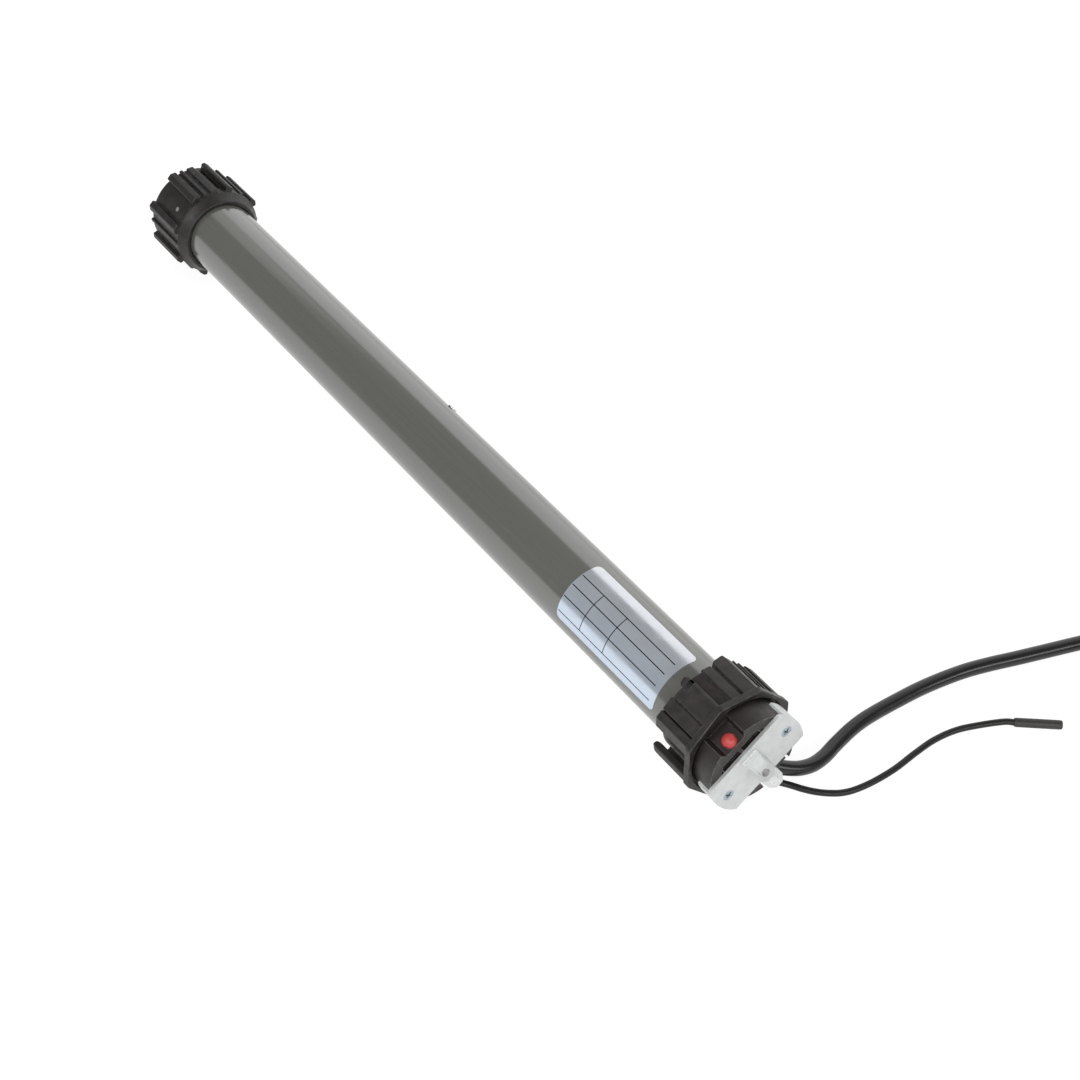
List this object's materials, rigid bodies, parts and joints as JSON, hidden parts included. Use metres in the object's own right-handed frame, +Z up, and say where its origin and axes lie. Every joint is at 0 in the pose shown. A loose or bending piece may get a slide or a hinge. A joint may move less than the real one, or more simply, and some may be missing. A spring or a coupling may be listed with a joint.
{
  "type": "tubular roller blind motor",
  "caption": "Slim round tube motor with an octagonal ribbed drive wheel, a free ring adapter, a head with a square stud and a coiled mains cable.",
  "frame": {"origin": "centre of the footprint of the motor, without its cables, on the surface that its octagonal adapters lie on", "axes": "+X along the motor's axis from the drive wheel to the square stud, +Y towards the side where the cables leave, +Z up"},
  "size_m": [0.7507, 0.3587, 0.062],
  "materials": {
    "tube_paint": "satin warm grey coating",
    "label_foil": "satin silver film, bare",
    "bright_screw": "bright zinc",
    "adapter_plastic": "matte black moulding",
    "head_plastic": "satin black moulding",
    "zinc_plate": "bright zinc, satin",
    "button_plastic": "clear red",
    "gear_steel": "sintered, oiled",
    "second_gear": "sintered, oiled",
    "gear_nylon": "natural nylon, greased",
    "pin_steel": "ground",
    "die_cast": "as cast",
    "housing_steel": "dark phosphated",
    "bronze": "sintered bronze",
    "lining": "pressed fibre",
    "disc_steel": "turned",
    "lamination": "stacked sheets",
    "copper": "enamelled wire",
    "capacitor_case": "light grey case",
    "tray_plastic": "matte dark moulding",
    "board_green": "solder mask",
    "relay_plastic": "dark case",
    "core_yellow": "taped core",
    "terminal_green": "green case",
    "switch_black": "black case",
    "contact_brass": "bright",
    "cable_sheath": "satin black sheath",
    "core_sheath": "coloured insulation",
    "tinned": "tinned sleeves"
  },
  "bodies": {
    "casing": {"motor_tube": "tube_paint", "rating_label": "label_foil", "tube_screws": "bright_screw", "end_plate": "die_cast", "end_plate_screws": "bright_screw", "output_bush": "bronze", "gearbox_housing": "housing_steel", "front_shield": "die_cast", "motor_bushes": "bronze", "brake_lining": "lining", "stator_core": "lamination", "stator_windings": "copper", "rear_shield": "die_cast", "run_capacitor": "capacitor_case", "board_tray": "tray_plastic", "control_board": "board_green", "relays": "relay_plastic", "transformer": "core_yellow", "terminal_block": "terminal_green", "head_housing": "head_plastic", "switch_board": "board_green", "tact_switch": "switch_black", "bracket_plate": "zinc_plate", "bracket_screws": "bright_screw", "square_stud": "zinc_plate", "cable_plug": "head_plastic", "plug_pins": "contact_brass", "mains_cable": "cable_sheath", "mains_coil": "cable_sheath", "cable_cores": "core_sheath", "core_ferrules": "tinned", "antenna_lead": "cable_sheath", "antenna_sleeve": "cable_sheath"},
    "drive": {"drive_wheel": "adapter_plastic", "wheel_set_screw": "bright_screw", "output_carrier": "gear_steel", "output_pins": "pin_steel", "shaft_circlip": "pin_steel"},
    "second_stage": {"second_carrier": "gear_steel", "second_pins": "pin_steel"},
    "first_stage": {"first_carrier": "gear_steel", "first_pins": "pin_steel"},
    "rotor": {"rotor_shaft": "pin_steel", "rotor_core": "lamination", "brake_spring": "pin_steel"},
    "brake": {"brake_disc": "disc_steel"},
    "crown": {"crown_adapter": "adapter_plastic"},
    "encoder": {"encoder_pinion": "gear_nylon"},
    "button": {"setting_button": "button_plastic", "switch_plunger": "gear_nylon"},
    "third_planet_a": {"third_planet_a": "gear_steel"},
    "third_planet_b": {"third_planet_b": "gear_steel"},
    "third_planet_c": {"third_planet_c": "gear_steel"},
    "second_planet_a": {"second_planet_a": "second_gear"},
    "second_planet_b": {"second_planet_b": "second_gear"},
    "second_planet_c": {"second_planet_c": "second_gear"},
    "first_planet_a": {"first_planet_a": "gear_nylon"},
    "first_planet_b": {"first_planet_b": "gear_nylon"},
    "first_planet_c": {"first_planet_c": "gear_nylon"}
  },
  "joints": [
    {"name": "rotor_spin", "type": "hinge", "parent": "casing", "child": "rotor", "pos_m": [0, 0, 0.031], "axis": [1, 0, 0], "continuous": true},
    {"name": "first_carrier_spin", "type": "hinge", "parent": "casing", "child": "first_stage", "pos_m": [0, 0, 0.031], "axis": [1, 0, 0], "continuous": true},
    {"name": "second_carrier_spin", "type": "hinge", "parent": "casing", "child": "second_stage", "pos_m": [0, 0, 0.031], "axis": [1, 0, 0], "continuous": true},
    {"name": "drive_spin", "type": "hinge", "parent": "casing", "child": "drive", "pos_m": [0, 0, 0.031], "axis": [1, 0, 0], "continuous": true},
    {"name": "first_planet_a_spin", "type": "hinge", "parent": "first_stage", "child": "first_planet_a", "pos_m": [0, 0.01073, 0.031], "axis": [1, 0, 0], "continuous": true},
    {"name": "first_planet_b_spin", "type": "hinge", "parent": "first_stage", "child": "first_planet_b", "pos_m": [0, -0.00536, 0.04029], "axis": [1, 0, 0], "continuous": true},
    {"name": "first_planet_c_spin", "type": "hinge", "parent": "first_stage", "child": "first_planet_c", "pos_m": [0, -0.00536, 0.02171], "axis": [1, 0, 0], "continuous": true},
    {"name": "second_planet_a_spin", "type": "hinge", "parent": "second_stage", "child": "second_planet_a", "pos_m": [0, 0.01073, 0.031], "axis": [1, 0, 0], "continuous": true},
    {"name": "second_planet_b_spin", "type": "hinge", "parent": "second_stage", "child": "second_planet_b", "pos_m": [0, -0.00536, 0.04029], "axis": [1, 0, 0], "continuous": true},
    {"name": "second_planet_c_spin", "type": "hinge", "parent": "second_stage", "child": "second_planet_c", "pos_m": [0, -0.00536, 0.02171], "axis": [1, 0, 0], "continuous": true},
    {"name": "third_planet_a_spin", "type": "hinge", "parent": "drive", "child": "third_planet_a", "pos_m": [0, 0.01073, 0.031], "axis": [1, 0, 0], "continuous": true},
    {"name": "third_planet_b_spin", "type": "hinge", "parent": "drive", "child": "third_planet_b", "pos_m": [0, -0.00536, 0.04029], "axis": [1, 0, 0], "continuous": true},
    {"name": "third_planet_c_spin", "type": "hinge", "parent": "drive", "child": "third_planet_c", "pos_m": [0, -0.00536, 0.02171], "axis": [1, 0, 0], "continuous": true},
    {"name": "brake_release", "type": "slide", "parent": "rotor", "child": "brake", "axis": [1, 0, 0], "range_m": [0, 0.0004], "stiffness_N_per_m": 2000, "springref_m": -0.004},
    {"name": "crown_spin", "type": "hinge", "parent": "casing", "child": "crown", "pos_m": [0, 0, 0.031], "axis": [1, 0, 0], "continuous": true},
    {"name": "encoder_spin", "type": "hinge", "parent": "casing", "child": "encoder", "pos_m": [0, 0.01483, 0.04189], "axis": [1, 0, 0], "continuous": true},
    {"name": "button_press", "type": "slide", "parent": "casing", "child": "button", "axis": [0, 0.592, -0.8059], "range_m": [0, 0.0008], "stiffness_N_per_m": 400, "springref_m": -0.003}
  ],
  "couplings": [
    {"joint": "first_carrier_spin", "follows": "rotor_spin", "ratio": 0.18182},
    {"joint": "second_carrier_spin", "follows": "rotor_spin", "ratio": 0.033058},
    {"joint": "drive_spin", "follows": "rotor_spin", "ratio": 0.0060105},
    {"joint": "first_planet_a_spin", "follows": "rotor_spin", "ratio": -0.46753},
    {"joint": "first_planet_b_spin", "follows": "rotor_spin", "ratio": -0.46753},
    {"joint": "first_planet_c_spin", "follows": "rotor_spin", "ratio": -0.46753},
    {"joint": "second_planet_a_spin", "follows": "rotor_spin", "ratio": -0.085006},
    {"joint": "second_planet_b_spin", "follows": "rotor_spin", "ratio": -0.085006},
    {"joint": "second_planet_c_spin", "follows": "rotor_spin", "ratio": -0.085006},
    {"joint": "third_planet_a_spin", "follows": "rotor_spin", "ratio": -0.015456},
    {"joint": "third_planet_b_spin", "follows": "rotor_spin", "ratio": -0.015456},
    {"joint": "third_planet_c_spin", "follows": "rotor_spin", "ratio": -0.015456},
    {"joint": "encoder_spin", "follows": "crown_spin", "ratio": 5.1818}
  ]
}
